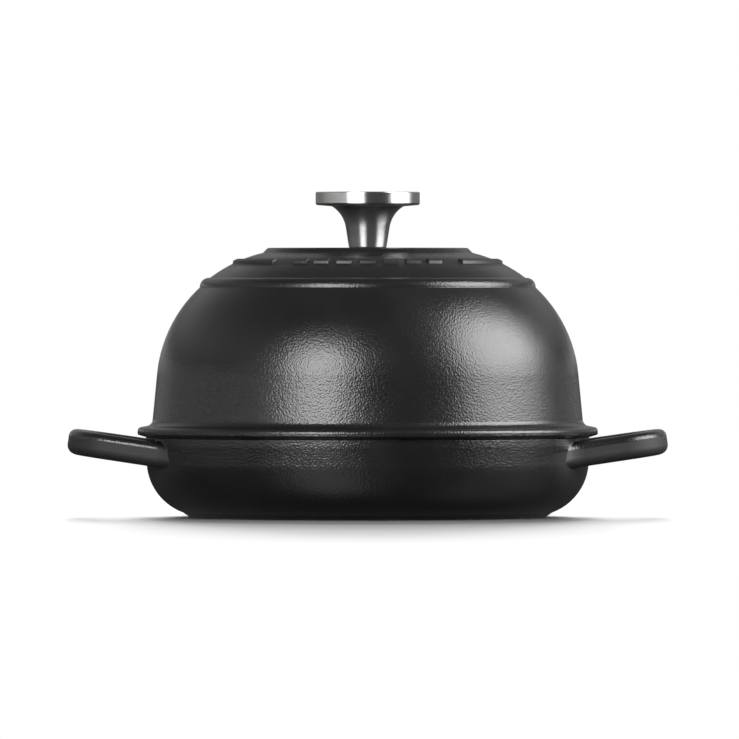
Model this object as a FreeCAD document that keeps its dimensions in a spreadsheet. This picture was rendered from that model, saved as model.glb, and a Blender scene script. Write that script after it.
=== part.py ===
"""Bread cloche: a shallow cast-iron base with two loop handles, and a tall domed lid with a steel knob.

The origin is the middle of the foot, on the table. +Z is up and the handles lie along X.
"""

import FreeCAD, Part
import math
import os
import re

import Sketcher

# Name, size in millimetres or degrees, what it measures
SIZES = (
    ("base_height", 44.2, "table to the rim that the lid sits on"),
    ("base_rim_radius", 123.0, "outside of the base at its rim"),
    ("base_draft", 3.0, "degrees that the base wall leans outwards"),
    ("base_wall", 3.6, "thickness of the base wall"),
    ("rim_band", 3.2, "upright band under the base rim"),
    ("rim_bend", 40.0, "bend from the band into the leaning wall"),
    ("bowl_radius", 30.6, "outer bend from the base wall to the foot"),
    ("foot_inset", 24.2, "how far the foot stands in from the rim"),
    ("foot_flare", 3.5, "how much wider the foot is where it meets the bowl"),
    ("foot_height", 2.4, "height of the foot"),
    ("floor_thickness", 4.6, "iron under the loaf"),
    ("floor_corner", 25.5, "inner bend from the floor to the wall"),
    ("ridge_first", 20.0, "radius of the innermost floor ridge"),
    ("ridge_pitch", 20.0, "distance from one floor ridge to the next"),
    ("ridge_width", 5.0, "width of a floor ridge"),
    ("ridge_height", 1.2, "height of a floor ridge"),
    ("ridge_root", 0.6, "how far a floor ridge reaches down into the floor"),
    ("rim_rounding", 0.7, "outer edge of the base rim"),
    ("rim_inner_rounding", 0.8, "inner edge of the base rim"),
    ("foot_rounding", 0.7, "edge of the foot"),
    ("handle_reach", 43.3, "how far a handle stands out from the rim"),
    ("handle_drop", 1.3, "base rim down to the top of the handle, straight out from the rim"),
    ("handle_tilt", 8.3, "degrees that a handle rises outwards"),
    ("handle_width", 88.0, "across the two corners of a handle, outside"),
    ("handle_corner", 29.0, "outer corner of a handle, seen from above"),
    ("handle_bow", 130.0, "bow of the grip, seen from above"),
    ("handle_splay", 16.0, "degrees that an arm spreads towards the wall"),
    ("arm_length", 26.0, "straight part of an arm"),
    ("root_bend", 25.0, "hollow bend of an arm into the wall, outside, seen from above"),
    ("root_angle", 34.0, "degrees that an arm has spread where it enters the wall"),
    ("root_depth", 16.0, "how far an arm runs on inside before the bowl is hollowed"),
    ("bar_width", 12.5, "handle bar, seen from above"),
    ("bar_height", 13.8, "handle bar, seen from the side"),
    ("bar_top_rounding", 4.0, "upper edges of the handle bar"),
    ("bar_low_rounding", 5.2, "lower edges of the handle bar"),
    ("root_rounding", 1.2, "small hollow where a handle grows out of the wall"),
    ("lid_height", 104.8, "base rim to the top of the lid, without the knob"),
    ("flange_overhang", 4.5, "how far the lid's flange stands out past the base rim"),
    ("lid_wall", 4.2, "thickness of the lid"),
    ("flange_height", 6.7, "base rim to the top of the flange, at the wall"),
    ("flange_fall", 1.5, "how far the top of the flange falls outwards"),
    ("flange_relief", 1.4, "how far the flange's underside rises outside the seat"),
    ("flange_top_rounding", 2.2, "upper edge of the flange"),
    ("flange_low_rounding", 0.9, "lower edge of the flange"),
    ("flange_hollow", 3.6, "hollow between the flange and the wall"),
    ("wall_inset", 3.55, "base rim in to the lid wall, at the top of the flange"),
    ("wall_draft", 5.5, "degrees that the lid wall leans inwards"),
    ("lip_depth", 3.5, "how far the lid's lip drops inside the base"),
    ("lip_clearance", 0.9, "play between the lip and the inside of the base"),
    ("lip_rounding", 0.8, "outer edge of the lip"),
    ("dome_radius", 75.2, "bend from the lid wall to the shoulder"),
    ("shoulder_inset", 26.4, "lid wall in to the shoulder step"),
    ("shoulder_rise", 5.3, "height of the shoulder step"),
    ("shoulder_rounding", 5.0, "edge of the shoulder step"),
    ("shoulder_hollow", 0.3, "hollow at the foot of the shoulder step"),
    ("tread_width", 5.6, "ledge on top of the shoulder step"),
    ("tread_hollow", 0.6, "hollow at the inside of the ledge"),
    ("crown_radius", 79.0, "bend of the crown above the ledge"),
    ("crown_height", 13.9, "ledge to the foot of the top disc"),
    ("crown_width", 29.45, "ledge in to the foot of the top disc"),
    ("disc_lean", 2.6, "how much wider the disc is at its foot"),
    ("disc_rise", 2.7, "height of the top disc"),
    ("disc_rounding", 2.2, "edge of the top disc"),
    ("disc_hollow", 0.8, "hollow at the foot of the top disc"),
    ("top_thickness", 5.5, "iron under the knob"),
    ("ceiling_inset", 5.4, "edge of the top disc in to the flat ceiling inside the dome"),
    ("bead_width", 4.6, "width of a raised bar at its foot"),
    ("bead_height", 1.4, "height of a raised bar"),
    ("bead_flank", 0.9, "run of a raised bar's sloping side"),
    ("bead_depth", 1.0, "how far a raised bar reaches down into the crown"),
    ("bead_rounding", 0.5, "edges of a raised bar"),
    ("long_bar_angle", 91.0, "degrees that a side bar runs round the crown"),
    ("dash_angle", 6.5, "degrees that a short bar runs round the crown"),
    ("dash_span", 60.0, "degrees from the first short bar to the last"),
    ("stem_height", 23.0, "lid to the underside of the knob's disc"),
    ("stem_foot_radius", 10.4, "knob stem on the lid"),
    ("stem_taper", 8.8, "degrees that the stem opens upwards"),
    ("stem_flare", 16.5, "hollow bend of the trumpet"),
    ("stem_top_radius", 19.9, "trumpet under the disc"),
    ("stem_rounding", 0.8, "foot of the stem"),
    ("cap_radius", 28.85, "knob disc"),
    ("cap_thickness", 8.0, "knob disc, over the stem"),
    ("cap_rise", 0.75, "how far the disc's underside rises from the stem to its edge"),
    ("cap_top_rounding", 0.5, "upper edge of the knob disc"),
    ("cap_low_rounding", 1.2, "lower edge of the knob disc"),
    ("dish_margin", 5.35, "edge of the knob disc in to the dish in its top"),
    ("dish_depth", 0.6, "shallow dish in the top of the knob disc"),
    ("dish_slope", 0.8, "run of the dish's sloping side"),
    ("spigot_radius", 6.0, "peg under the disc, pressed into the stem"),
    ("spigot_length", 5.0, "peg under the disc"),
    ("spigot_clearance", 0.03, "play round the peg"),
    ("socket_clearance", 0.4, "room under the peg"),
    ("thread_radius", 2.5, "M5 screw"),
    ("thread_clearance", 0.03, "play round the thread"),
    ("screw_length", 16.0, "screw under its head"),
    ("screw_tip", 0.7, "chamfer on the screw's end"),
    ("tap_runout", 2.5, "tapped hole beyond the screw's end"),
    ("hole_clearance", 0.75, "play of the screw in the lid"),
    ("head_radius", 4.75, "pan head of the screw"),
    ("head_height", 3.4, "pan head of the screw"),
    ("head_rounding", 1.8, "edge of the pan head"),
    ("recess_length", 5.2, "arms of the cross recess"),
    ("recess_width", 1.15, "arms of the cross recess"),
    ("recess_depth", 1.9, "depth of the cross recess"),
    ("washer_clearance", 0.12, "play of the screw in its washers"),
    ("flat_washer_radius", 6.0, "plain washer"),
    ("flat_washer_thickness", 1.0, "plain washer"),
    ("lock_washer_radius", 4.6, "split spring washer"),
    ("lock_washer_thickness", 1.2, "split spring washer"),
    ("lock_washer_gap", 0.9, "split in the spring washer"),
)
DASHES = 7
FRONT, BACK = 270, 90
FULL_TURN = 360
TOLERANCE = 0.02

doc = FreeCAD.newDocument("bread_cloche")
sheet_of = {}


def add_row(sheet, row, alias, content, note):
    sheet.set(f"A{row}", note)
    sheet.set(f"B{row}", content)
    sheet.setAlias(f"B{row}", alias)
    sheet_of[alias] = sheet.Name


sizes = doc.addObject("Spreadsheet::Sheet", "Sizes")
for number, (size_name, size, size_note) in enumerate(SIZES, start=1):
    add_row(sizes, number, size_name, str(size), size_note)
places = doc.addObject("Spreadsheet::Sheet", "Places")
doc.recompute()


def formula(text):
    """The text with each name, which is any word with an underscore, led by its sheet's name."""
    return re.sub(r"[a-z]+(?:_[a-z]+)+", lambda word: f"{sheet_of[word.group()]}.{word.group()}", text)


def worth(text):
    """What a formula comes to with the sheet's present numbers."""
    return float(sizes.evalExpression(formula(text)))


def place(alias, text, note):
    """Keeps a size that follows from others as a formula in the second sheet."""
    add_row(places, len(sheet_of) - len(SIZES) + 1, alias, "=" + formula(text), note)
    places.recompute()


def place_spring(name, wall_radius, wall_height, lean, end_radius, end_height, bend, side):
    """Finds where a leaning wall runs smoothly into an arc of radius bend that ends at a given point.

    The end lies an inset away from the wall. The arc leaves the wall a run further along it, and the
    inset and the run follow from the circle: run squared is inset times (twice the bend less the inset).
    """
    wall_there = f"({wall_radius} + ({end_height} - ({wall_height})) * tan({lean}))"
    place(f"{name}_inset", f"({wall_there} - ({end_radius})) * cos({lean})", f"{name}: end to wall")
    inset = f"{name}_inset"
    place(f"{name}_run", f"sqrt(abs({inset}) * (2 * ({bend}) - abs({inset})))", f"{name}: arc along the wall")
    run = f"{side} * {name}_run"
    spring_radius = f"{end_radius} + {inset} * cos({lean}) + {run} * sin({lean})"
    spring_height = f"{end_height} - {inset} * sin({lean}) + {run} * cos({lean})"
    place(f"{name}_spring_radius", spring_radius, f"{name}: where the wall becomes the arc")
    place(f"{name}_spring_height", spring_height, f"{name}: where the wall becomes the arc")


def follow_base():
    """Sizes of the base that follow from others."""
    place("foot_radius", "base_rim_radius - foot_inset", "flat face that the base stands on")
    place("foot_top_radius", "foot_radius + foot_flare", "foot where it meets the bowl")
    place("band_low", "base_height - rim_band", "bottom of the upright band")
    place("lean_top", "band_low - rim_bend * sin(base_draft)", "top of the leaning wall")
    place("lean_radius", "base_rim_radius - rim_bend * (1 - cos(base_draft))", "top of the leaning wall")
    place_spring(
        "bowl", "lean_radius", "lean_top", "base_draft", "foot_top_radius", "foot_height", "bowl_radius", 1
    )
    place("inner_rim_radius", "base_rim_radius - base_wall", "inside of the base at its rim")
    place("corner_height", "floor_thickness + floor_corner * (1 - sin(base_draft))", "top of the inner bend")
    corner_radius = "inner_rim_radius - (base_height - corner_height) * tan(base_draft)"
    place("corner_wall_radius", corner_radius, "inside of the wall at the top of the bend")
    place("floor_radius", "corner_wall_radius - floor_corner * cos(base_draft)", "flat floor")


def follow_handles():
    """Places along the middle line of a handle's bar, measured outwards and sideways from the wall."""
    place("handle_level", "base_height - handle_drop - bar_height / 2", "middle of the handle, at the wall")
    upright_part = "(bar_height / 2 - bar_low_rounding) * sin(handle_tilt)"
    flat_part = "(bar_width / 2 - bar_low_rounding) * cos(handle_tilt)"
    place("bar_reach", f"{flat_part} + {upright_part} + bar_low_rounding", "middle of the bar to its outside")
    place("grip_out", "(handle_reach - bar_reach) / cos(handle_tilt)", "wall to the middle of the grip")
    place("bend_radius", "handle_corner - bar_width / 2", "corner, along the middle of the bar")
    place("bow_centre", "grip_out - handle_bow", "centre of the grip's bow")
    place("bend_side", "handle_width / 2 - handle_corner", "centre of a corner to the X axis")
    place("bend_out", "bow_centre + sqrt((handle_bow - bend_radius)^2 - bend_side^2)", "centre of a corner")
    bow_share = "handle_bow / (handle_bow - bend_radius)"
    place("grip_end_out", f"bow_centre + (bend_out - bow_centre) * {bow_share}", "corner to grip")
    place("grip_end_side", f"bend_side * {bow_share}", "corner to grip")
    place("arm_out", "bend_out + bend_radius * sin(handle_splay)", "straight arm to corner")
    place("arm_side", "bend_side + bend_radius * cos(handle_splay)", "straight arm to corner")
    place("root_out", "arm_out - arm_length * cos(handle_splay)", "straight arm to root")
    place("root_side", "arm_side + arm_length * sin(handle_splay)", "straight arm to root")
    place("root_radius", "root_bend + bar_width / 2", "root, along the middle of the bar")
    place("wall_out", "root_out + root_radius * (sin(handle_splay) - sin(root_angle))", "root to wall")
    place("wall_side", "root_side + root_radius * (cos(handle_splay) - cos(root_angle))", "root to wall")
    place("tip_out", "wall_out - root_depth * cos(root_angle)", "end of an arm, inside")
    place("tip_side", "wall_side + root_depth * sin(root_angle)", "end of an arm, inside")


def follow_lid():
    """Sizes of the lid that follow from others, stacked downwards from its top."""
    place("lid_top", "base_height + lid_height", "top of the lid")
    place("flange_top", "base_height + flange_height", "top of the flange, at the wall")
    place("flange_edge", "flange_height - flange_fall - flange_relief", "upright edge of the flange")
    place("lid_rim_radius", "base_rim_radius + flange_overhang", "outside of the flange")
    place("wall_radius", "base_rim_radius - wall_inset", "outside of the wall, at the top of the flange")
    place("shoulder_radius", "wall_radius - shoulder_inset", "shoulder step")
    place("tread_radius", "shoulder_radius - tread_width", "inside of the ledge")
    place("disc_foot_radius", "tread_radius - crown_width", "foot of the top disc")
    place("disc_radius", "disc_foot_radius - disc_lean", "edge of the top disc")
    place("flat_radius", "disc_radius - ceiling_inset", "flat ceiling inside the dome")
    place("disc_foot", "lid_top - disc_rise", "foot of the top disc")
    place("tread_height", "disc_foot - crown_height", "ledge")
    place("shoulder_height", "tread_height - shoulder_rise", "foot of the shoulder step")
    place("ceiling_height", "lid_top - top_thickness", "flat ceiling inside the dome")
    place("lip_low", "base_height - lip_depth", "bottom of the lip")
    place("lip_radius", "inner_rim_radius - lip_clearance", "outside of the lip")
    place("inner_wall_radius", "wall_radius - lid_wall / cos(wall_draft)", "inside of the wall at the flange")
    lip_inside = "inner_wall_radius + (flange_top - lip_low) * tan(wall_draft)"
    place("lip_inner_radius", lip_inside, "inside of the lip")
    place("hole_radius", "thread_radius + hole_clearance", "hole for the knob's screw")
    place("inner_dome_radius", "dome_radius - lid_wall", "bend inside the dome")
    place_spring(
        "dome", "wall_radius", "flange_top", "-wall_draft", "shoulder_radius", "shoulder_height",
        "dome_radius", -1,
    )
    place_spring(
        "inside", "inner_wall_radius", "flange_top", "-wall_draft", "flat_radius", "ceiling_height",
        "inner_dome_radius", -1,
    )


def follow_bars():
    """Where the crown's arc has its centre, and how steep the crown is under the raised bars."""
    place("bead_radius", "tread_radius - crown_width / 2", "ring of raised bars, half way up the crown")
    chord = "sqrt(crown_width^2 + crown_height^2)"
    place("crown_chord", chord, "straight across the crown")
    place("crown_lean", "atan(crown_height / crown_width)", "lean of the chord")
    place("crown_depth", "sqrt(crown_radius^2 - (crown_chord / 2)^2)", "chord to the crown's centre")
    place("crown_centre_radius", "bead_radius - crown_depth * sin(crown_lean)", "centre of the crown")
    middle_height = "(disc_foot + tread_height) / 2"
    place("crown_centre_height", f"{middle_height} - crown_depth * cos(crown_lean)", "centre of the crown")
    place("bead_lean", "asin((bead_radius - crown_centre_radius) / crown_radius)", "crown under a bar")


def follow_knob():
    """Depths of the holes in the knob, and the bend of its trumpet."""
    place("dish_radius", "cap_radius - dish_margin", "dish in the top of the disc")
    place("washer_stack", "flat_washer_thickness + lock_washer_thickness", "both washers together")
    place("tap_depth", "screw_length - washer_stack - top_thickness + tap_runout", "tapped hole in the stem")
    place("tap_radius", "thread_radius + thread_clearance", "tapped hole in the stem")
    place("socket_radius", "spigot_radius + spigot_clearance", "socket for the disc's peg")
    place("socket_floor", "stem_height - spigot_length - socket_clearance", "bottom of the socket")
    place_spring(
        "trumpet", "stem_foot_radius", "0", "stem_taper", "stem_top_radius", "stem_height", "stem_flare", -1
    )


follow_base()
follow_handles()
follow_lid()
follow_bars()
follow_knob()


def origin_feature(body, role):
    return next(f for f in body.Origin.OriginFeatures if f.Role == role)


def new_body(label):
    body = doc.addObject("PartDesign::Body", label)
    body.Label = label
    return body


def new_feature(body, kind, name, **settings):
    """A feature of the body. Settings given as text are bound to the sheet, the others are set."""
    feature = body.newObject(f"PartDesign::{kind}", f"{body.Label}_{name}")
    for setting, content in settings.items():
        if isinstance(content, str):
            feature.setExpression(setting, formula(content))
        else:
            setattr(feature, setting, content)
    return feature


def new_sketch(body, name, role, across=None, **offsets):
    """A sketch on one of the body's own planes, or across the X axis of another sketch.

    Offsets are bound to the sheet.
    """
    sketch = body.newObject("Sketcher::SketchObject", f"{body.Label}_{name}")
    if across:
        sketch.AttachmentSupport = [(across, "")]
        sketch.MapMode = "ObjectYZ"
    else:
        sketch.AttachmentSupport = [(origin_feature(body, role), "")]
        sketch.MapMode = "FlatFace"
    turn_axis = offsets.pop("turn_axis", (0, 0, 1))
    sketch.AttachmentOffset = FreeCAD.Placement(
        FreeCAD.Vector(), FreeCAD.Rotation(FreeCAD.Vector(*turn_axis), 1)
    )
    offsets.setdefault("turn", "0")
    for part_name, text in offsets.items():
        path = "Rotation.Angle" if part_name == "turn" else f"Base.{part_name}"
        sketch.setExpression(f"AttachmentOffset.{path}", formula(text))
    doc.recompute()
    return sketch


def arc_between(start, end, radius):
    """The short arc from start to end, anticlockwise for a radius above zero, and its end that is start."""
    middle = (start + end) * 0.5
    along = end - start
    reach = math.sqrt(radius**2 - (along.Length / 2) ** 2)
    left = FreeCAD.Vector(-along.y, along.x, 0).normalize()
    centre = middle + left * math.copysign(reach, radius)
    first, last = (start, end) if radius > 0 else (end, start)
    angles = [math.atan2(p.y - centre.y, p.x - centre.x) for p in (first, last)]
    circle = Part.Circle(centre, FreeCAD.Vector(0, 0, 1), abs(radius))
    return Part.ArcOfCircle(circle, *angles), 1 if radius > 0 else 2


def draw(sketch, corners, closed=True):
    """Draws lines and arcs through corners given as formulas and ties every corner and radius to the sheet.

    A third formula on a corner is the radius of the arc that leads on from it, below zero for clockwise.
    """
    first = sketch.GeometryCount
    points = [FreeCAD.Vector(worth(c[0]), worth(c[1]), 0) for c in corners]
    count = len(corners) if closed else len(corners) - 1
    starts = []
    rules = []
    for index in range(count):
        start, end = points[index], points[(index + 1) % len(points)]
        if len(corners[index]) == 3:
            edge, start_end = arc_between(start, end, worth(corners[index][2]))
            rules.append(("Radius", first + index, f"abs({corners[index][2]})"))
        else:
            edge, start_end = Part.LineSegment(start, end), 1
        sketch.addGeometry(edge)
        starts.append(start_end)
    for index in range(count if closed else count - 1):
        after = (index + 1) % count
        sketch.addConstraint(
            Sketcher.Constraint("Coincident", first + index, 3 - starts[index], first + after, starts[after])
        )
    for index, corner in enumerate(corners):
        on_edge = min(index, count - 1)
        which = starts[on_edge] if index < count else 3 - starts[on_edge]
        for kind, text, axis in (("DistanceX", corner[0], -2), ("DistanceY", corner[1], -1)):
            if text == "0":
                sketch.addConstraint(Sketcher.Constraint("PointOnObject", first + on_edge, which, axis))
            else:
                rules.append((kind, -1, 1, first + on_edge, which, text))
    for rule in rules:
        number = sketch.addConstraint(Sketcher.Constraint(*rule[:-1], worth(rule[-1])))
        sketch.setExpression(f"Constraints[{number}]", formula(rule[-1]))
    doc.recompute()


def revolve(body, name, corners, kind="Revolution", angle=None, role="XZ_Plane", **offsets):
    """Turns an outline in radius and height about Z: all the way, or through an angle about its plane."""
    sketch = new_sketch(body, f"{name}_outline", role, **offsets)
    draw(sketch, corners)
    return turn(body, name, sketch, kind, angle)


def turn(body, name, sketch, kind="Revolution", angle=None):
    feature = new_feature(body, kind, name, Profile=sketch, ReferenceAxis=(sketch, ["V_Axis"]))
    if angle is None:
        feature.Angle = FULL_TURN
    else:
        feature.Midplane = True
        feature.setExpression("Angle", formula(angle))
    doc.recompute()
    return feature


def round_edges(body, name, radius, chosen):
    """Rounds the edges of the body's last feature that chosen picks out."""
    base = body.Tip
    edges = [f"Edge{i}" for i, edge in enumerate(base.Shape.Edges, start=1) if chosen(edge)]
    if not edges:
        raise RuntimeError(f"{body.Label}: no edge for {name}")
    new_feature(body, "Fillet", name, Base=(base, edges), Radius=radius)
    doc.recompute()


def ring(radius, height):
    """Picks the full circle about Z with this radius and height."""
    size, level = worth(radius), worth(height)

    def chosen(edge):
        curve = edge.Curve
        return (
            isinstance(curve, Part.Circle)
            and abs(curve.Radius - size) < TOLERANCE
            and abs(curve.Center.z - level) < TOLERANCE
            and math.hypot(curve.Center.x, curve.Center.y) < TOLERANCE
        )

    return chosen


def round_rings(body, table):
    """Rounds circular edges, each given by name, radius of the rounding, radius and height of the edge."""
    for name, rounding, radius, height in table:
        round_edges(body, name, rounding, ring(radius, height))


def make_base():
    """Shallow pan: outside turned, handles swept on, roots hollowed, inside turned out, floor ridged."""
    body = new_body("base")
    revolve(
        body,
        "outside",
        [
            ("0", "0"),
            ("foot_radius", "0"),
            ("foot_top_radius", "foot_height", "bowl_radius"),
            ("bowl_spring_radius", "bowl_spring_height"),
            ("lean_radius", "lean_top", "rim_bend"),
            ("base_rim_radius", "band_low"),
            ("base_rim_radius", "base_height"),
            ("0", "base_height"),
        ],
    )
    add_handles(body)
    hollow_base(body)
    ridge_floor(body)
    round_rings(
        body,
        [
            ("rim_edge", "rim_rounding", "base_rim_radius", "base_height"),
            ("rim_inner_edge", "rim_inner_rounding", "inner_rim_radius", "base_height"),
            ("foot_edge", "foot_rounding", "foot_radius", "0"),
        ],
    )
    return body


def add_handles(body):
    """A rounded bar swept along a bowed loop that lies in a plane rising outwards, and its mirror image."""
    loop = new_sketch(
        body, "handle_loop", "XY_Plane", x="base_rim_radius", z="handle_level",
        turn_axis=(0, 1, 0), turn="-handle_tilt",
    )
    draw(
        loop,
        [
            ("tip_out", "-tip_side"),
            ("wall_out", "-wall_side", "-root_radius"),
            ("root_out", "-root_side"),
            ("arm_out", "-arm_side", "bend_radius"),
            ("grip_end_out", "-grip_end_side", "handle_bow"),
            ("grip_end_out", "grip_end_side", "bend_radius"),
            ("arm_out", "arm_side"),
            ("root_out", "root_side", "-root_radius"),
            ("wall_out", "wall_side"),
            ("tip_out", "tip_side"),
        ],
        closed=False,
    )
    section = new_sketch(
        body, "bar_section", None, loop, x="-tip_side", z="tip_out", turn_axis=(0, 1, 0), turn="root_angle"
    )
    side, top, low = "bar_width / 2", "bar_height / 2", "0 - bar_height / 2"
    top_flat, low_flat = f"{side} - bar_top_rounding", f"{side} - bar_low_rounding"
    side_top, side_low = f"{top} - bar_top_rounding", f"{low} + bar_low_rounding"
    draw(
        section,
        [
            (f"-({low_flat})", low),
            (low_flat, low, "bar_low_rounding"),
            (side, side_low),
            (side, side_top, "bar_top_rounding"),
            (top_flat, top),
            (f"-({top_flat})", top, "bar_top_rounding"),
            (f"-({side})", side_top),
            (f"-({side})", side_low, "bar_low_rounding"),
        ],
    )
    edges = [f"Edge{i + 1}" for i in range(loop.GeometryCount)]
    bar = new_feature(body, "AdditivePipe", "handle", Profile=section, Spine=(loop, edges))
    doc.recompute()
    mirror_plane = (origin_feature(body, "YZ_Plane"), [""])
    mirrored = new_feature(body, "Mirrored", "second_handle", Originals=[bar], MirrorPlane=mirror_plane)
    body.Tip = mirrored
    doc.recompute()

    def about_z(face):
        centre = getattr(face.Surface, "Center", None)
        return centre is not None and math.hypot(centre.x, centre.y) < TOLERANCE

    def at_root(edge):
        """Where a bar meets the wall: an edge that is no circle, between a face turned about Z and another."""
        faces = mirrored.Shape.ancestorsOfType(edge, Part.Face)
        no_circle = not isinstance(edge.Curve, Part.Circle)
        return no_circle and len(faces) == 2 and about_z(faces[0]) != about_z(faces[1])

    round_edges(body, "root_hollow", "min(root_rounding, handle_drop)", at_root)


def hollow_base(body):
    """Turns out the inside, with a wide bend between the floor and the wall."""
    before = body.Tip.Shape.Volume
    revolve(
        body,
        "inside",
        [
            ("0", "floor_thickness"),
            ("floor_radius", "floor_thickness", "floor_corner"),
            ("corner_wall_radius", "corner_height"),
            ("inner_rim_radius", "base_height"),
            ("0", "base_height"),
        ],
        kind="Groove",
    )
    if body.Tip.Shape.Volume > before / 2:
        raise RuntimeError("the base was not hollowed")


def ridge_floor(body):
    """Round-backed rings that lift the loaf off the floor, each an arc on a chord sunk into the floor."""
    sketch = new_sketch(body, "ridges_outline", "XZ_Plane")
    sunk = "floor_thickness - ridge_root"
    arch = "(ridge_root + ridge_height)"
    bend = f"((ridge_width / 2)^2 + {arch}^2) / (2 * {arch})"
    room = worth("floor_radius - ridge_width - ridge_first")
    for index in range(int(room / worth("ridge_pitch")) + 1):
        middle = f"ridge_first + {index} * ridge_pitch"
        draw(sketch, [(f"{middle} - ridge_width / 2", sunk), (f"{middle} + ridge_width / 2", sunk, bend)])
    turn(body, "ridges", sketch)


def make_lid():
    """Domed cover: one turned wall with a seat and lip below and a stepped crown above."""
    body = new_body("lid")
    revolve(
        body,
        "wall",
        [
            ("lip_inner_radius", "lip_low"),
            ("lip_radius", "lip_low"),
            ("lip_radius", "base_height"),
            ("base_rim_radius", "base_height"),
            ("lid_rim_radius", "base_height + flange_relief"),
            ("lid_rim_radius", "flange_top - flange_fall"),
            ("wall_radius", "flange_top"),
            ("dome_spring_radius", "dome_spring_height", "dome_radius"),
            ("shoulder_radius", "shoulder_height"),
            ("shoulder_radius", "tread_height"),
            ("tread_radius", "tread_height", "crown_radius"),
            ("disc_foot_radius", "disc_foot"),
            ("disc_radius", "lid_top"),
            ("hole_radius", "lid_top"),
            ("hole_radius", "ceiling_height"),
            ("flat_radius", "ceiling_height", "-inner_dome_radius"),
            ("inside_spring_radius", "inside_spring_height"),
        ],
    )
    flange_top_rounding = "min(flange_top_rounding, flange_edge - flange_low_rounding)"
    step_room = "shoulder_rise - shoulder_hollow, tread_width - tread_hollow"
    shoulder_rounding = f"min(shoulder_rounding, {step_room})"
    round_rings(
        body,
        [
            ("lip_edge", "lip_rounding", "lip_radius", "lip_low"),
            ("flange_low_edge", "flange_low_rounding", "lid_rim_radius", "base_height + flange_relief"),
            ("flange_top_edge", flange_top_rounding, "lid_rim_radius", "flange_top - flange_fall"),
            ("flange_foot", "flange_hollow", "wall_radius", "flange_top"),
            ("shoulder_foot", "shoulder_hollow", "shoulder_radius", "shoulder_height"),
            ("shoulder_edge", shoulder_rounding, "shoulder_radius", "tread_height"),
            ("tread_foot", "tread_hollow", "tread_radius", "tread_height"),
            ("disc_foot", "disc_hollow", "disc_foot_radius", "disc_foot"),
            ("disc_edge", "disc_rounding", "disc_radius", "lid_top"),
        ],
    )
    raise_bars(body)
    return body


def raise_bars(body):
    """Plain raised bars on the crown: a long one at each side, short ones in front and behind."""

    def corner(along, up):
        """A point of a bar's section, from its run down the crown and its height over the crown."""
        out = f"(crown_radius + {up})"
        radius = f"crown_centre_radius + {out} * sin(bead_lean) + ({along}) * cos(bead_lean)"
        height = f"crown_centre_height + {out} * cos(bead_lean) - ({along}) * sin(bead_lean)"
        return radius, height

    foot, top = "bead_width / 2", "(bead_width / 2 - bead_flank)"
    section = [
        corner(f"-({foot})", "(0 - bead_depth)"),
        corner(foot, "(0 - bead_depth)"),
        corner(foot, "0"),
        corner(top, "bead_height"),
        corner(f"-{top}", "bead_height"),
        corner(f"-({foot})", "0"),
    ]
    axis = (origin_feature(body, "Z_Axis"), [""])
    long_bar = revolve(body, "side_bar", section, angle="long_bar_angle")
    mirror_plane = (origin_feature(body, "YZ_Plane"), [""])
    body.Tip = new_feature(body, "Mirrored", "second_bar", Originals=[long_bar], MirrorPlane=mirror_plane)
    doc.recompute()
    for name, middle in (("front", FRONT), ("back", BACK)):
        first = revolve(
            body, f"{name}_dash", section, angle="dash_angle",
            turn_axis=(0, 1, 0), turn=f"{middle} - dash_span / 2",
        )
        body.Tip = new_feature(
            body, "PolarPattern", f"{name}_dashes",
            Originals=[first], Axis=axis, Occurrences=DASHES, Angle="dash_span",
        )
        doc.recompute()

    centre = FreeCAD.Vector(worth("crown_centre_radius"), 0, worth("crown_centre_height"))
    back = worth("crown_radius + bead_height / 2")

    def on_bar(edge):
        """Edges that stand more than half a bar's height over the crown, between the ledge and the disc."""
        for vertex in edge.Vertexes:
            radius = math.hypot(vertex.X, vertex.Y)
            if abs(radius - worth("bead_radius")) > worth("bead_width"):
                return False
            if math.hypot(radius - centre.x, vertex.Z - centre.z) < back:
                return False
        return True

    round_edges(body, "bar_edges", "bead_rounding", on_bar)


def make_knob_stem():
    """Turned trumpet with a tapped hole in its foot and a socket in its top."""
    body = new_body("knob_stem")
    body.setExpression("Placement.Base.z", formula("lid_top"))
    revolve(
        body,
        "trumpet",
        [
            ("tap_radius", "0"),
            ("stem_foot_radius", "0"),
            ("trumpet_spring_radius", "trumpet_spring_height", "-stem_flare"),
            ("stem_top_radius", "stem_height"),
            ("socket_radius", "stem_height"),
            ("socket_radius", "socket_floor"),
            ("0", "socket_floor"),
            ("0", "tap_depth"),
            ("tap_radius", "tap_depth"),
        ],
    )
    round_rings(body, [("foot_edge", "stem_rounding", "stem_foot_radius", "0")])
    return body


def make_knob_cap():
    """Thick turned disc with a shallow dish on top and a peg below that is pressed into the stem."""
    body = new_body("knob_cap")
    body.setExpression("Placement.Base.z", formula("lid_top + stem_height"))
    revolve(
        body,
        "disc",
        [
            ("0", "-spigot_length"),
            ("spigot_radius", "-spigot_length"),
            ("spigot_radius", "0"),
            ("stem_top_radius", "0"),
            ("cap_radius", "cap_rise"),
            ("cap_radius", "cap_thickness"),
            ("dish_radius", "cap_thickness"),
            ("dish_radius - dish_slope", "cap_thickness - dish_depth"),
            ("0", "cap_thickness - dish_depth"),
        ],
    )
    round_rings(
        body,
        [
            ("low_edge", "cap_low_rounding", "cap_radius", "cap_rise"),
            ("top_edge", "cap_top_rounding", "cap_radius", "cap_thickness"),
        ],
    )
    return body


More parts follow.
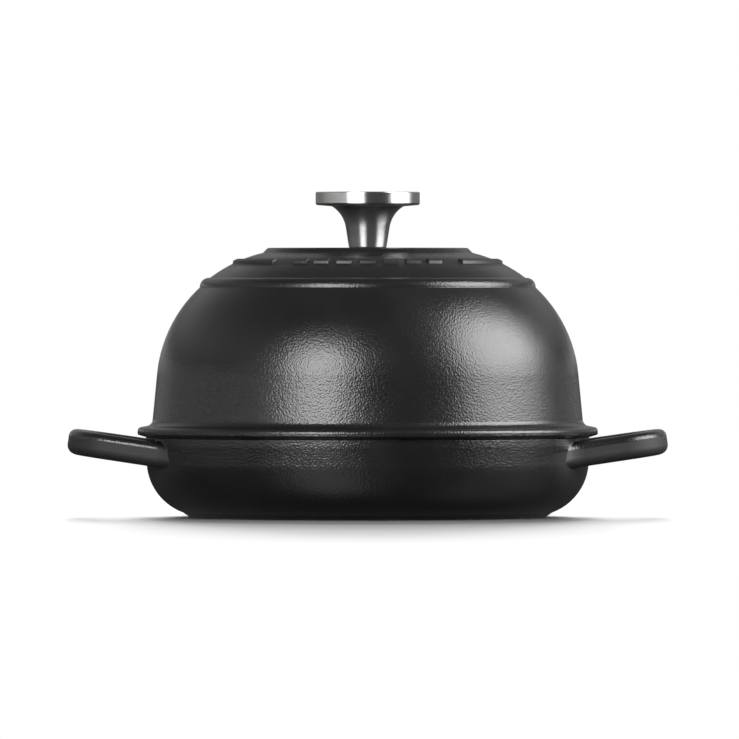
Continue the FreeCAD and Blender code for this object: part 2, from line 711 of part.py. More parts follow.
def make_knob_screw():
    """Pan-head screw with a cross recess, put in from inside the dome."""
    body = new_body("knob_screw")
    body.setExpression("Placement.Base.z", formula("ceiling_height - washer_stack"))
    revolve(
        body,
        "shank",
        [
            ("0", "-head_height"),
            ("head_radius", "-head_height"),
            ("head_radius", "0"),
            ("thread_radius", "0"),
            ("thread_radius", "screw_length - screw_tip"),
            ("thread_radius - screw_tip", "screw_length"),
            ("0", "screw_length"),
        ],
    )
    round_rings(body, [("head_edge", "head_rounding", "head_radius", "-head_height")])
    solid = body.Tip.Shape.Volume
    cross = new_sketch(body, "recess_outline", "XY_Plane", z="-head_height")
    tip, side = "recess_length / 2", "recess_width / 2"
    draw(
        cross,
        [
            (tip, f"-{side}"), (tip, side), (side, side), (side, tip), (f"-{side}", tip), (f"-{side}", side),
            (f"-{tip}", side), (f"-{tip}", f"-{side}"), (f"-{side}", f"-{side}"), (f"-{side}", f"-{tip}"),
            (side, f"-{tip}"), (side, f"-{side}"),
        ],
    )
    new_feature(body, "Pocket", "recess", Profile=cross, Length="recess_depth", Reversed=True)
    doc.recompute()
    if body.Tip.Shape.Volume >= solid:
        raise RuntimeError("the screw has no recess")
    return body


def make_washer(label, radius, thickness, level):
    """A turned ring round the screw, with its lower face at the given level."""
    body = new_body(label)
    body.setExpression("Placement.Base.z", formula(level))
    inner = "thread_radius + washer_clearance"
    revolve(body, "ring", [(inner, "0"), (radius, "0"), (radius, thickness), (inner, thickness)])
    return body


def make_flat_washer():
    level = "ceiling_height - flat_washer_thickness"
    return make_washer("flat_washer", "flat_washer_radius", "flat_washer_thickness", level)


def make_lock_washer():
    """Spring washer, split through one side."""
    level = "ceiling_height - washer_stack"
    body = make_washer("lock_washer", "lock_washer_radius", "lock_washer_thickness", level)
    whole = body.Tip.Shape.Volume
    split = new_sketch(body, "split_outline", "XZ_Plane")
    left, right = "0 - lock_washer_gap / 2", "lock_washer_gap / 2"
    lean = "lock_washer_thickness / 2"
    draw(
        split,
        [
            (f"{left} - {lean}", "0"),
            (f"{right} - {lean}", "0"),
            (f"{right} + {lean}", "lock_washer_thickness"),
            (f"{left} + {lean}", "lock_washer_thickness"),
        ],
    )
    new_feature(body, "Pocket", "split", Profile=split, Length="lock_washer_radius")
    doc.recompute()
    if body.Tip.Shape.Volume >= whole:
        raise RuntimeError("the spring washer has no split")
    return body


bodies = [
    make_base(),
    make_lid(),
    make_knob_stem(),
    make_knob_cap(),
    make_knob_screw(),
    make_flat_washer(),
    make_lock_washer(),
]

doc.recompute()
for thing in doc.Objects:
    if {"Invalid", "Error"} & set(thing.State):
        raise RuntimeError(f"{thing.Label} failed: {thing.State}")
for body in bodies:
    if body.Shape.isNull() or not body.Shape.isValid() or len(body.Shape.Solids) != 1:
        raise RuntimeError(f"{body.Label} is not one sound solid")

os.makedirs("parts", exist_ok=True)
for body in bodies:
    body.Shape.exportStep(f"parts/{body.Label}.step")
    print(f"{body.Label}: {body.Shape.Volume / 1000:.2f} cm3")
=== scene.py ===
import math

import bpy
import numpy as np
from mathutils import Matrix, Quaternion, Vector


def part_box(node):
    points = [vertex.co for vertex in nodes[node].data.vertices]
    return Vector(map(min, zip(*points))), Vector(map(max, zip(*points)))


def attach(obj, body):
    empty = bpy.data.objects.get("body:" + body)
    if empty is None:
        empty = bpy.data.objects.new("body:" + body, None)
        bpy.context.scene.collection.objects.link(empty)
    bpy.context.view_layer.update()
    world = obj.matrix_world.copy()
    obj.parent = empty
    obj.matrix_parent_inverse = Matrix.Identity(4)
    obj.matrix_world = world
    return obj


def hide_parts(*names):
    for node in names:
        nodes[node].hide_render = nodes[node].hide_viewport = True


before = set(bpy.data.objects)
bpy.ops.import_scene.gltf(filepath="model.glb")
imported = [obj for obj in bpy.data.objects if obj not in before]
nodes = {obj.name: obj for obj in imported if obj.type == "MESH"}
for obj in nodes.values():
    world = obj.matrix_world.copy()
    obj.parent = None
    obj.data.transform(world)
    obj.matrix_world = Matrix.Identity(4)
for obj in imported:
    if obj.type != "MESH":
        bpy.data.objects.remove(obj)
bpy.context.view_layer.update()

# Base: a shallow round pan with its two loop handles, sand-cast in one piece in grey iron.
# It is sprayed with black enamel and fired, which leaves a satin skin of fine pebbles over the casting.
# The rim is rubbed by the lid, the foot by the shelf that it stands on, and the handles by oven gloves.
MM = 0.001
PEBBLE, PEBBLE_HEIGHT = 0.95 * MM, 0.15 * MM
LUMP, LUMP_SHARE = 9.0 * MM, 0.46
MOTTLE = 26.0 * MM
PEBBLE_GRAIN = {"Detail": 0.3, "Roughness": 0.4}
LUMP_GRAIN = {"Detail": 1.0, "Roughness": 0.4}
MOTTLE_GRAIN = {"Detail": 3.0, "Roughness": 0.55}
CLOUD_LIMITS = (0.3, 0.7)
ENAMEL_BLACK = (0.0068, 0.0068, 0.0071, 1)
ENAMEL_GREY = (0.0090, 0.0090, 0.0093, 1)
RUBBED_GREY = (0.030, 0.030, 0.029, 1)
ENAMEL_SATIN, ENAMEL_DULL = 0.23, 0.26
RUBBED_SATIN = 0.34
RUB_REACH = 0.9 * MM
HANDLED_SATIN, HANDLED_SMOOTH = 0.64, 0.6
HELD_FROM, HELD_TO = 96.0 * MM, 120.0 * MM
HANDLE_ROOT, HANDLE_ROOT_LEVEL = 123.0 * MM, 36.0 * MM
HANDLE_RISE = math.tan(math.radians(8.3))
HANDLE_EDGE, HANDLE_SIDE = 3.4 * MM, 2.6 * MM
LIP_DEPTH = 3.5 * MM
TABLE_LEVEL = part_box("base")[0].z
SEAT_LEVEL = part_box("lid")[0].z + LIP_DEPTH
MIX_SHARE, MIX_FIRST, MIX_SECOND, MIX_RESULT = 0, 6, 7, 2


def put(tree, kind, inputs=None, **settings):
    """Adds a shader node. Settings go on the node, and an input is linked if it is another node's socket."""
    node = tree.nodes.new(kind)
    for name, setting in settings.items():
        setattr(node, name, setting)
    for name, content in (inputs or {}).items():
        if isinstance(content, bpy.types.NodeSocket):
            tree.links.new(content, node.inputs[name])
        else:
            node.inputs[name].default_value = content
    return node


def math_of(tree, operation, *values):
    """One step of arithmetic on sockets or numbers."""
    return put(tree, "ShaderNodeMath", dict(enumerate(values)), operation=operation).outputs[0]


def ramp_of(tree, value, low, high):
    """A smooth step that climbs from 0 where value is low to 1 where it is high."""
    limits = {"Value": value, "From Min": low, "From Max": high}
    return put(tree, "ShaderNodeMapRange", limits, interpolation_type="SMOOTHSTEP").outputs[0]


def mix_values(tree, share, first, second):
    """The first value where share is 0, the second where it is 1, and a straight climb between."""
    limits = {"Value": share, "To Min": first, "To Max": second}
    return put(tree, "ShaderNodeMapRange", limits).outputs[0]


def mix_colours(tree, share, first, second):
    """The first colour where share is 0, the second where it is 1, and a straight mix between."""
    colours = {MIX_SHARE: share, MIX_FIRST: first, MIX_SECOND: second}
    return put(tree, "ShaderNodeMix", colours, data_type="RGBA").outputs[MIX_RESULT]


def noise_of(tree, place, scale, grain, **settings):
    """Smooth noise around a half, with the given number of waves in a metre."""
    waves = {"Vector": place, "Scale": scale, **grain}
    return put(tree, "ShaderNodeTexNoise", waves, **settings).outputs["Fac"]


def new_group(name, inputs, outputs):
    """A shader node group with named sockets: its tree, and the sockets that bring its inputs."""
    tree = bpy.data.node_groups.new(name, "ShaderNodeTree")
    for socket, kind in inputs.items():
        tree.interface.new_socket(socket, in_out="INPUT", socket_type=kind)
    for socket in outputs:
        tree.interface.new_socket(socket, in_out="OUTPUT", socket_type="NodeSocketFloat")
    return tree, tree.nodes.new("NodeGroupInput").outputs


def pebbled_skin():
    """Fired enamel: rounded pebbles of one size on long low lumps, and clouds for its sheen and shade."""
    tree, given = new_group(
        "pebbled_skin",
        {"Position": "NodeSocketVector", "Pebble": "NodeSocketFloat", "Lump": "NodeSocketFloat"},
        ("Height", "Cloud"),
    )
    place = given["Position"]
    pebbles = noise_of(tree, place, math_of(tree, "DIVIDE", 1.0, given["Pebble"]), PEBBLE_GRAIN)
    lumps = noise_of(tree, place, math_of(tree, "DIVIDE", 1.0, given["Lump"]), LUMP_GRAIN)
    clouds = noise_of(tree, place, math_of(tree, "DIVIDE", LUMP / MOTTLE, given["Lump"]), MOTTLE_GRAIN)
    height = math_of(tree, "MULTIPLY_ADD", lumps, LUMP_SHARE, pebbles)
    put(tree, "NodeGroupOutput", {"Height": height, "Cloud": ramp_of(tree, clouds, *CLOUD_LIMITS)})
    return tree


SKIN = pebbled_skin()


def new_material(name):
    """An empty material, its tree, and the place on the piece that is being shaded."""
    material = bpy.data.materials.new(name)
    material.use_nodes = True
    material.node_tree.nodes.clear()
    tree = material.node_tree
    return material, tree, put(tree, "ShaderNodeTexCoord").outputs["Object"]


def enamel(name, rubbed_levels, handled_places):
    """Satin black enamel on cast iron, rubbed greyer at the given heights, dull and smooth where handled."""
    material, tree, place = new_material(name)
    skin = {"Position": place, "Pebble": PEBBLE, "Lump": LUMP}
    skin = put(tree, "ShaderNodeGroup", skin, node_tree=SKIN).outputs
    parts = put(tree, "ShaderNodeSeparateXYZ", {"Vector": place}).outputs
    rubbed = 0.0
    for level in rubbed_levels:
        distance = math_of(tree, "ABSOLUTE", math_of(tree, "SUBTRACT", parts["Z"], level))
        rubbed = math_of(tree, "MAXIMUM", rubbed, ramp_of(tree, distance, RUB_REACH, 0.0))
    rubbed = math_of(tree, "MULTIPLY", rubbed, skin["Cloud"])
    handled = handled_places(tree, parts)
    colour = mix_colours(tree, skin["Cloud"], ENAMEL_BLACK, ENAMEL_GREY)
    colour = mix_colours(tree, rubbed, colour, RUBBED_GREY)
    roughness = mix_values(tree, skin["Cloud"], ENAMEL_SATIN, ENAMEL_DULL)
    roughness = mix_values(tree, rubbed, roughness, RUBBED_SATIN)
    roughness = mix_values(tree, handled, roughness, HANDLED_SATIN)
    worn_height = math_of(tree, "MULTIPLY", skin["Height"], 1.0 - HANDLED_SMOOTH)
    height = mix_values(tree, handled, skin["Height"], worn_height)
    bump = put(tree, "ShaderNodeBump", {"Height": height, "Distance": PEBBLE_HEIGHT}).outputs["Normal"]
    surface = {"Base Color": colour, "Roughness": roughness, "Normal": bump}
    shader = put(tree, "ShaderNodeBsdfPrincipled", surface).outputs["BSDF"]
    put(tree, "ShaderNodeOutputMaterial", {"Surface": shader})
    return material


def on_handles(tree, parts):
    """1 on the sides of the two handles, which rise out along X, and 0 on their upper edges and the pan."""
    out = math_of(tree, "ABSOLUTE", parts["X"])
    level_at_axis = HANDLE_ROOT_LEVEL - HANDLE_ROOT * HANDLE_RISE
    middle = math_of(tree, "MULTIPLY_ADD", out, HANDLE_RISE, level_at_axis)
    below_edge = ramp_of(tree, math_of(tree, "SUBTRACT", parts["Z"], middle), HANDLE_EDGE, HANDLE_SIDE)
    return math_of(tree, "MULTIPLY", below_edge, ramp_of(tree, out, HELD_FROM, HELD_TO))


def dress(node, material):
    """Gives a CAD piece one material all over."""
    nodes[node].data.materials.clear()
    nodes[node].data.materials.append(material)


dress("base", enamel("base_enamel", (TABLE_LEVEL, SEAT_LEVEL), on_handles))

# Lid: a tall domed cover with a flange, a stepped crown and plain raised bars, sand-cast in grey iron.
# It has the same fired enamel as the base and lies loose on the base's rim, centred by a low lip.
# The bars stand proud of the crown, so a drying cloth wears them dull.
BAR_RING = 72.7 * MM
BAR_EDGE, BAR_CLEAR = 2.2 * MM, 6.5 * MM
BAR_WEAR = 0.5
BAR_LEVEL, CEILING_LEVEL = 139.0 * MM, 138.0 * MM


def radius_of(tree, parts):
    """The distance to the cloche's upright axis."""
    across = put(tree, "ShaderNodeCombineXYZ", {"X": parts["X"], "Y": parts["Y"]}).outputs["Vector"]
    return put(tree, "ShaderNodeVectorMath", {0: across}, operation="LENGTH").outputs["Value"]


def on_raised_bars(tree, parts):
    """The bars' wear on their ring round the crown, and 0 on the rest of the lid and inside it."""
    distance = math_of(tree, "ABSOLUTE", math_of(tree, "SUBTRACT", radius_of(tree, parts), BAR_RING))
    worn = math_of(tree, "MULTIPLY", ramp_of(tree, distance, BAR_CLEAR, BAR_EDGE), BAR_WEAR)
    return math_of(tree, "MULTIPLY", worn, ramp_of(tree, parts["Z"], CEILING_LEVEL, BAR_LEVEL))


dress("lid", enamel("lid_enamel", (SEAT_LEVEL,), on_raised_bars))

# Knob stem: a trumpet turned from stainless bar on a lathe, which leaves fine rings round it.
# It stands on the crown and is tapped from below for the screw that holds it.
# The rings scatter a little light every way, which a metallic share just under 1 stands for.
TURN_PITCH, TURN_DEPTH = 0.24 * MM, 0.0012 * MM
RING_GRAIN = {"Detail": 2.0, "Roughness": 0.6}
STREAK_GRAIN = {"Detail": 3.0, "Roughness": 0.6}
STREAKS_PER_RING = 0.35
STREAK_LIMITS = (0.3, 0.7)
STEEL_GRAIN = 0.9
QUARTER_TURN = 0.25
STEM_FINISH = {
    "light": (0.49, 0.485, 0.48, 1),
    "dark": (0.43, 0.425, 0.42, 1),
    "sheen": 0.16,
    "worn": 0.20,
    "pitch": TURN_PITCH,
    "depth": TURN_DEPTH,
    "metal": 0.92,
}


def turned_rings():
    """Lathe marks: noise that depends only on the distance to the axis and the height, so it makes rings."""
    tree, given = new_group(
        "turned_rings",
        {"Position": "NodeSocketVector", "Pitch": "NodeSocketFloat"},
        ("Height", "Streak"),
    )
    parts = put(tree, "ShaderNodeSeparateXYZ", {"Vector": given["Position"]}).outputs
    section = {"X": radius_of(tree, parts), "Y": parts["Z"]}
    section = put(tree, "ShaderNodeCombineXYZ", section).outputs["Vector"]
    per_ring = math_of(tree, "DIVIDE", 1.0, given["Pitch"])
    per_streak = math_of(tree, "MULTIPLY", per_ring, STREAKS_PER_RING)
    rings = noise_of(tree, section, per_ring, RING_GRAIN, noise_dimensions="2D")
    streaks = noise_of(tree, section, per_streak, STREAK_GRAIN, noise_dimensions="2D")
    put(tree, "NodeGroupOutput", {"Height": rings, "Streak": ramp_of(tree, streaks, *STREAK_LIMITS)})
    return tree


RINGS = turned_rings()


def turned_steel(name, light, dark, sheen, worn, pitch, depth, metal):
    """Bright steel with lathe rings, which smear reflections across the rings and keep them sharp along."""
    material, tree, place = new_material(name)
    rings = put(tree, "ShaderNodeGroup", {"Position": place, "Pitch": pitch}, node_tree=RINGS).outputs
    relief = {"Height": rings["Height"], "Distance": depth}
    round_axis = put(tree, "ShaderNodeTangent", None, direction_type="RADIAL", axis="Z").outputs["Tangent"]
    surface = {
        "Base Color": mix_colours(tree, rings["Streak"], dark, light),
        "Roughness": mix_values(tree, rings["Streak"], worn, sheen),
        "Normal": put(tree, "ShaderNodeBump", relief).outputs["Normal"],
        "Tangent": round_axis,
        "Metallic": metal,
        "Anisotropic": STEEL_GRAIN,
        "Anisotropic Rotation": QUARTER_TURN,
    }
    shader = put(tree, "ShaderNodeBsdfPrincipled", surface).outputs["BSDF"]
    put(tree, "ShaderNodeOutputMaterial", {"Surface": shader})
    return material


dress("knob_stem", turned_steel("polished_stainless", **STEM_FINISH))

# Knob cap: a thick stainless disc with a shallow dish, faced and turned like the stem and a little paler.
# A peg under it is pressed into the stem, so the two move as one.
CAP_FINISH = {
    "light": (0.66, 0.655, 0.645, 1),
    "dark": (0.58, 0.575, 0.565, 1),
    "sheen": 0.20,
    "worn": 0.25,
    "pitch": TURN_PITCH,
    "depth": TURN_DEPTH,
    "metal": 1.0,
}
dress("knob_cap", turned_steel("turned_stainless", **CAP_FINISH))

# Knob screw: an M5 pan-head screw, headed and thread-rolled from stainless wire and duller than the knob.
# It goes in from inside the dome, and its thread grips the tapped stem and clamps the knob to the lid.
FASTENER_FINISH = {
    "light": (0.52, 0.52, 0.51, 1),
    "dark": (0.42, 0.42, 0.41, 1),
    "sheen": 0.32,
    "worn": 0.40,
    "pitch": 0.3 * MM,
    "depth": 0.002 * MM,
    "metal": 1.0,
}
FASTENER_STEEL = turned_steel("fastener_stainless", **FASTENER_FINISH)
HEAD_RADIUS, HEAD_HEIGHT, HEAD_ROUNDING = 4.75 * MM, 3.4 * MM, 1.8 * MM
RECESS_ARM, RECESS_SIDE, RECESS_DEPTH, RECESS_SLOPE = 2.6 * MM, 0.575 * MM, 1.9 * MM, 0.25 * MM
THREAD_RADIUS, THREAD_PITCH, THREAD_DEPTH = 2.5 * MM, 0.8 * MM, 0.49 * MM
CREST_SHARE, ROOT_SHARE = 0.125, 0.75
PLAIN_NECK, SCREW_LENGTH, SCREW_TIP = 0.8 * MM, 16.0 * MM, 0.7 * MM
POINTS_ROUND, POINTS_PER_PITCH = 128, 12
FACE_POINTS, BEND_POINTS, FLAT_POINTS = 36, 12, 5
SHARP_EDGE = math.radians(35)


def screw_surface():
    """Points by (row, angle) of a pan-head screw whose head faces down, with its seat at height 0.

    The rows follow a profile: across the head's face, round its edge, back under it, up the shank, and in
    over the tip. On the face, a point rises by the recess's depth where it lies inside a cross. On the shank,
    the radius falls by the thread's depth where height over pitch, less angle over a full turn, is near a
    whole number, and it is full where that is near a half.
    """
    flat = HEAD_RADIUS - HEAD_ROUNDING
    bend = np.linspace(0, np.pi / 2, BEND_POINTS)[1:]
    rise = np.linspace(0, SCREW_LENGTH, round(SCREW_LENGTH / THREAD_PITCH) * POINTS_PER_PITCH)
    face = np.linspace(0, flat, FACE_POINTS)[1:]
    under = np.linspace(HEAD_RADIUS, THREAD_RADIUS, FLAT_POINTS)[:-1]
    tip = np.linspace(THREAD_RADIUS - SCREW_TIP, 0, FLAT_POINTS)[1:-1]
    edge = flat + HEAD_ROUNDING * np.sin(bend)
    radius = np.concatenate([face, edge, under, np.full(len(rise), THREAD_RADIUS), tip])
    height = np.concatenate([
        np.full(len(face), -HEAD_HEIGHT),
        HEAD_ROUNDING * (1 - np.cos(bend)) - HEAD_HEIGHT,
        np.zeros(len(under)),
        rise,
        np.full(len(tip), SCREW_LENGTH),
    ])
    angle = np.linspace(0, 2 * np.pi, POINTS_ROUND, endpoint=False)
    radius, height, angle = np.broadcast_arrays(radius[:, None], height[:, None], angle[None, :])
    turn = (height / THREAD_PITCH - angle / (2 * np.pi)) % 1.0
    groove = np.clip((np.abs(2 * turn - 1) - CREST_SHARE) / (ROOT_SHARE - CREST_SHARE), 0, 1)
    runout = np.clip((height - PLAIN_NECK) / THREAD_PITCH, 0, 1)
    thread = THREAD_RADIUS - THREAD_DEPTH * groove * runout
    chamfer = THREAD_RADIUS + SCREW_LENGTH - SCREW_TIP - height
    shank = np.minimum(radius, np.minimum(thread, chamfer))
    radius = np.where(height > 0, shank, radius)
    across, along = radius * np.cos(angle), radius * np.sin(angle)
    inside = np.clip((RECESS_SIDE - np.minimum(abs(across), abs(along))) / RECESS_SLOPE, 0, 1)
    inside = inside * np.clip((RECESS_ARM - np.maximum(abs(across), abs(along))) / RECESS_SLOPE, 0, 1)
    height = np.where(height <= -HEAD_HEIGHT, height + RECESS_DEPTH * inside, height)
    return np.stack([across, along, height], axis=-1)


def turned_faces(rows, points_round):
    """Faces of a turned shape: each row joined to the next all the way round, and a fan at each end."""
    point = np.arange(rows * points_round).reshape(rows, points_round)
    beside = np.roll(point, -1, axis=1)
    first_pole, last_pole = np.full(points_round, point.size), np.full(points_round, point.size + 1)
    walls = np.stack([point[:-1], beside[:-1], beside[1:], point[1:]], axis=-1).reshape(-1, 4)
    first_fan = np.stack([first_pole, beside[0], point[0]], axis=-1)
    last_fan = np.stack([last_pole, point[-1], beside[-1]], axis=-1)
    return walls.tolist() + first_fan.tolist() + last_fan.tolist()


screw_rows = screw_surface()
screw_poles = [(0, 0, RECESS_DEPTH - HEAD_HEIGHT), (0, 0, SCREW_LENGTH)]
screw_points = np.concatenate([screw_rows.reshape(-1, 3), screw_poles])
screw_points[:, 2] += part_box("knob_screw")[0].z + HEAD_HEIGHT
screw_mesh = bpy.data.meshes.new("threaded_screw")
screw_mesh.from_pydata(screw_points.tolist(), [], turned_faces(len(screw_rows), POINTS_ROUND))
screw_mesh.shade_smooth()
screw_mesh.set_sharp_from_angle(angle=SHARP_EDGE)
screw_mesh.materials.append(FASTENER_STEEL)
screw = bpy.data.objects.new("threaded_screw", screw_mesh)
bpy.context.scene.collection.objects.link(screw)
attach(screw, "lid")
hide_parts("knob_screw")

# Washers: a plain washer on the enamel inside the dome, and a split spring washer under the screw's head.
# Both are stamped or coiled from stainless strip, and the screw clamps them.
for washer in ("flat_washer", "lock_washer"):
    dress(washer, FASTENER_STEEL)

# Floor: a white sweep under the cloche, which keeps its shadow and fades into the white backdrop.
# It isn't mirrored in the enamel, so the base stays dark towards the foot, and it is clear from below.
FLOOR_HALF = 1.6
FLOOR_DROP = 0.1 * MM
FLOOR_WHITE = (0.9, 0.9, 0.9, 1)
FADE_FROM, FADE_TO = 0.55, 1.4

corners = FLOOR_HALF * np.array([(-1, -1), (1, -1), (1, 1), (-1, 1)], float)
floor_points = np.column_stack([corners, np.full(len(corners), TABLE_LEVEL - FLOOR_DROP)])
floor_mesh = bpy.data.meshes.new("floor")
floor_mesh.from_pydata(floor_points.tolist(), [], [(0, 1, 2, 3)])
floor = bpy.data.objects.new("floor", floor_mesh)
bpy.context.scene.collection.objects.link(floor)
floor.visible_glossy = False
floor.visible_diffuse = False
floor.visible_shadow = False

sweep, tree, place = new_material("white_sweep")
from_middle = put(tree, "ShaderNodeVectorMath", {0: place}, operation="LENGTH").outputs["Value"]
from_below = put(tree, "ShaderNodeNewGeometry").outputs["Backfacing"]
gone = math_of(tree, "MAXIMUM", ramp_of(tree, from_middle, FADE_FROM, FADE_TO), from_below)
paper = put(tree, "ShaderNodeBsdfDiffuse", {"Color": FLOOR_WHITE}).outputs["BSDF"]
clear = put(tree, "ShaderNodeBsdfTransparent").outputs["BSDF"]
shader = put(tree, "ShaderNodeMixShader", {"Fac": gone, 1: paper, 2: clear}).outputs["Shader"]
put(tree, "ShaderNodeOutputMaterial", {"Surface": shader})
floor_mesh.materials.append(sweep)

# Backdrop: white wherever the camera looks. Reflections show the studio instead: pale paper low behind and
# beside the cloche, the dark room round the camera, a dim ceiling, and a dark table that is paler behind.
# Pairs of limits are parts of a direction: its height, its depth, or how far it points into the room.
ROOM_TURN = math.radians(21.0)
ROOM_DARK, ROOM_EDGE = 0.13, (0.70, 0.86)
PAPER_FRONT, PAPER_BACK, PAPER_EVEN = 4.2, 0.75, 0.6
PAPER_TOP = (0.05, 0.14)
WALL_LOW, WALL_HIGH, WALL_CLIMB = 0.15, 0.48, (0.12, 0.34)
WALL_TOP = (0.3, 0.9)
CEILING_FRONT, CEILING_BACK, CEILING_DEPTH = 0.14, 0.18, (-0.3, 0.6)
ROOM_TOP = (0.5, 0.95)
TABLE_FRONT, TABLE_BACK, TABLE_DEPTH = 0.035, 0.06, (-0.2, 0.7)
TABLE_EDGE = (0.01, 0.06)
FILL = 0.06
WHITE = (1, 1, 1, 1)

world = bpy.data.worlds.new("studio")
bpy.context.scene.world = world
world.use_nodes = True
world.node_tree.nodes.clear()
tree = world.node_tree
direction = put(tree, "ShaderNodeTexCoord").outputs["Generated"]
parts = put(tree, "ShaderNodeSeparateXYZ", {"Vector": direction}).outputs
depth, rise = parts["Y"], parts["Z"]
level = put(tree, "ShaderNodeCombineXYZ", {"X": parts["X"], "Y": depth}).outputs["Vector"]
level = put(tree, "ShaderNodeVectorMath", {0: level}, operation="NORMALIZE").outputs["Vector"]
to_room = {0: level, 1: (math.sin(ROOM_TURN), -math.cos(ROOM_TURN), 0.0)}
to_room = put(tree, "ShaderNodeVectorMath", to_room, operation="DOT_PRODUCT").outputs["Value"]
in_room = ramp_of(tree, to_room, *ROOM_EDGE)
front_to_back = {"Value": depth, "From Min": -PAPER_EVEN, "From Max": PAPER_EVEN}
front_to_back.update({"To Min": PAPER_FRONT, "To Max": PAPER_BACK})
paper = put(tree, "ShaderNodeMapRange", front_to_back).outputs[0]
ceiling = mix_values(tree, ramp_of(tree, depth, *CEILING_DEPTH), CEILING_FRONT, CEILING_BACK)
table = mix_values(tree, ramp_of(tree, depth, *TABLE_DEPTH), TABLE_FRONT, TABLE_BACK)
wall = mix_values(tree, ramp_of(tree, rise, *WALL_CLIMB), WALL_LOW, WALL_HIGH)
wall = mix_values(tree, ramp_of(tree, rise, *WALL_TOP), wall, ceiling)
studio = mix_values(tree, ramp_of(tree, rise, *PAPER_TOP), paper, wall)
studio = mix_values(tree, in_room, studio, ROOM_DARK)
studio = mix_values(tree, ramp_of(tree, rise, *ROOM_TOP), studio, ceiling)
studio = mix_values(tree, ramp_of(tree, rise, *TABLE_EDGE), table, studio)
rays = put(tree, "ShaderNodeLightPath").outputs
mirrored = math_of(tree, "MAXIMUM", rays["Is Glossy Ray"], rays["Is Transmission Ray"])
strength = mix_values(tree, mirrored, FILL, studio)
strength = mix_values(tree, rays["Is Camera Ray"], strength, 1.0)
background = put(tree, "ShaderNodeBackground", {"Color": WHITE, "Strength": strength}).outputs["Background"]
put(tree, "ShaderNodeOutputWorld", {"Surface": background})

# Softboxes: one left of the camera and one at the cloche's right side, whose top leans back. Each fades out
# towards the table. The table is dark and glossy, so each has a faint image below it. None lights the floor.
# Turn, rise, across, tall and roll are degrees, low is the fade's heights, and lean moves the glow sideways.
SOFTBOX_DISTANCE = 3.0
LEFT_BOX = {
    "turn": -26.5, "rise": 17.5, "across": 47.0, "tall": 50.0, "roll": 0.0, "low": (0.10, 0.55), "lean": 1.0,
}
RIGHT_BOX = {
    "turn": 85.0, "rise": 22.5, "across": 67.0, "tall": 69.0, "roll": -25.5, "low": (0.0, 0.74), "lean": 0.74,
}
LEFT_GLOW, RIGHT_GLOW = 12.0, 10.4
LEFT_GLOSS, RIGHT_GLOSS = 0.058, 0.0205
IMAGE_TURN = 2.0
IMAGE_BOX = {"rise": -30.0, "tall": 92.0, "roll": 0.0, "low": (0.0, 0.42)}
PANEL_HALF = 0.5
HOT_MIDDLE = 0.35
AIM = Vector((0.0, 0.0, 0.08))


def link_to(lamp, state):
    """Lets the lamp light only the floor, or everything but the floor."""
    group = bpy.data.collections.new(f"{lamp.name}_{state.lower()}")
    group.objects.link(floor)
    lamp.light_linking.receiver_collection = group
    group.collection_objects[0].light_linking.link_state = state


def hang(name, light, away, roll=0.0):
    """Puts a lamp where it shines from the direction away towards the cloche."""
    lamp = bpy.data.objects.new(name, light)
    lamp.location = AIM + away * SOFTBOX_DISTANCE
    facing = away.to_track_quat("Z", "Y") @ Quaternion((0, 0, 1), math.radians(roll))
    lamp.rotation_euler = facing.to_euler()
    lamp.visible_camera = False
    bpy.context.scene.collection.objects.link(lamp)
    return lamp


def softbox(name, glow, turn, rise, across, tall, roll, low, lean):
    """A lit panel that spans the given degrees, hot in the middle. Its power follows its size and glow."""
    light = bpy.data.lights.new(name, "AREA")
    light.shape = "RECTANGLE"
    light.size = 2 * SOFTBOX_DISTANCE * math.tan(math.radians(across / 2))
    light.size_y = 2 * SOFTBOX_DISTANCE * math.tan(math.radians(tall / 2))
    light.energy = glow * math.pi * light.size * light.size_y
    light.use_nodes = True
    tree = light.node_tree
    panel = put(tree, "ShaderNodeNewGeometry").outputs
    on_panel = put(tree, "ShaderNodeSeparateXYZ", {"Vector": panel["Parametric"]}).outputs
    leant = {"X": math_of(tree, "POWER", on_panel["X"], lean), "Y": on_panel["Y"]}
    leant = put(tree, "ShaderNodeCombineXYZ", leant).outputs["Vector"]
    from_bulb = {0: leant, 1: (PANEL_HALF, PANEL_HALF, 0.0)}
    from_bulb = put(tree, "ShaderNodeVectorMath", from_bulb, operation="SUBTRACT").outputs["Vector"]
    distance = put(tree, "ShaderNodeVectorMath", {0: from_bulb}, operation="LENGTH").outputs["Value"]
    fall = ramp_of(tree, distance, PANEL_HALF, PANEL_HALF * HOT_MIDDLE)
    height = put(tree, "ShaderNodeSeparateXYZ", {"Vector": panel["Position"]}).outputs["Z"]
    height = math_of(tree, "ABSOLUTE", height)
    fall = math_of(tree, "MULTIPLY", fall, ramp_of(tree, height, *low))
    tree.links.new(fall, tree.nodes["Emission"].inputs["Strength"])
    turn, rise = math.radians(turn), math.radians(rise)
    away = Vector((math.cos(rise) * math.sin(turn), -math.cos(rise) * math.cos(turn), math.sin(rise)))
    link_to(hang(name, light, away, roll), "EXCLUDE")


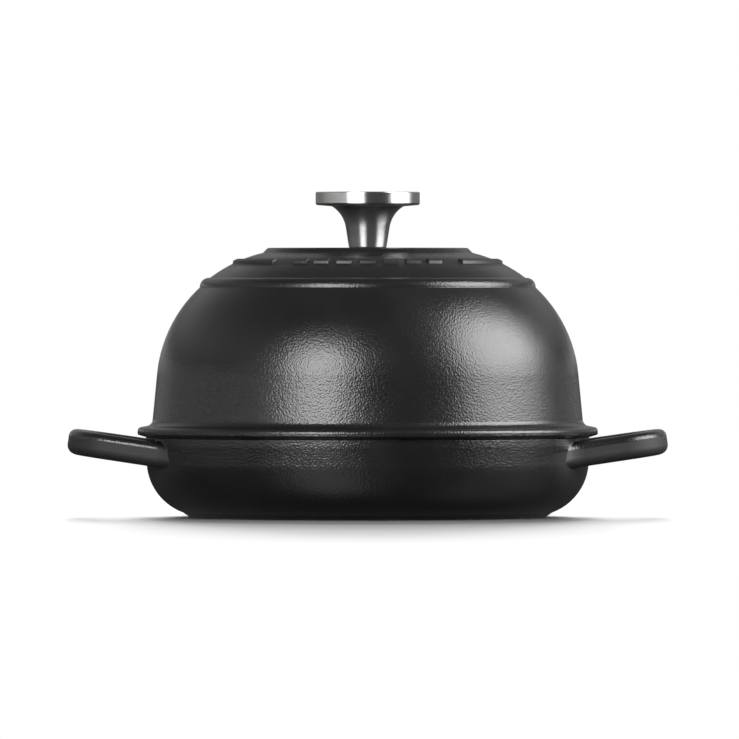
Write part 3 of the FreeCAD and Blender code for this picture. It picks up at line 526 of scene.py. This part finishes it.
for name, box, glow, gloss in (
    ("left_softbox", LEFT_BOX, LEFT_GLOW, LEFT_GLOSS),
    ("right_softbox", RIGHT_BOX, RIGHT_GLOW, RIGHT_GLOSS),
):
    softbox(name, glow, **box)
    image = {**box, **IMAGE_BOX, "turn": box["turn"] + IMAGE_TURN}
    softbox(f"{name}_in_table", glow * gloss, **image)

# Floor lamps: wide lamps behind the cloche, one above the other, which light only the floor.
# Together they lay a soft shadow towards the camera, and the floor burns out to white beyond it.
FLOOR_GLOW = 1.12
FLOOR_LAMPS = (
    {"rise": 10.0, "spread": 20.0, "share": 0.36},
    {"rise": 14.0, "spread": 32.0, "share": 0.12},
    {"rise": 24.0, "spread": 12.0, "share": 0.12},
    {"rise": 32.0, "spread": 12.0, "share": 0.10},
    {"rise": 45.0, "spread": 12.0, "share": 0.16},
    {"rise": 85.0, "spread": 110.0, "share": 0.14},
)
for number, lamp in enumerate(FLOOR_LAMPS, start=1):
    light = bpy.data.lights.new(f"floor_lamp_{number}", "SUN")
    rise = math.radians(lamp["rise"])
    light.angle = math.radians(lamp["spread"])
    light.energy = FLOOR_GLOW * lamp["share"] * math.pi / (FLOOR_WHITE[0] * math.sin(rise))
    away = Vector((0.0, math.cos(rise), math.sin(rise)))
    link_to(hang(light.name, light, away), "INCLUDE")

# Camera: a long lens far in front of the cloche, level with the crown's ledge and aimed a little lower.
# It takes in the width of the photograph's frame, measured where the cloche stands.
CAMERA_DISTANCE = 7.1
CAMERA_HEIGHT, AIM_HEIGHT = 132.6 * MM, 81.6 * MM
SIDEWAYS = 1.0 * MM
FRAME_WIDTH = 409.4 * MM
SENSOR = 36.0
FAR_LIMIT = 50.0

lens = bpy.data.cameras.new("camera")
lens.sensor_width = SENSOR
lens.lens = SENSOR * CAMERA_DISTANCE / FRAME_WIDTH
lens.clip_end = FAR_LIMIT
camera = bpy.data.objects.new("camera", lens)
camera.location = (SIDEWAYS, -CAMERA_DISTANCE, CAMERA_HEIGHT)
look = Vector((SIDEWAYS, 0.0, AIM_HEIGHT)) - camera.location
camera.rotation_euler = look.to_track_quat("-Z", "Y").to_euler()
bpy.context.scene.collection.objects.link(camera)
bpy.context.scene.camera = camera

bpy.context.scene.view_settings.view_transform = "Standard"
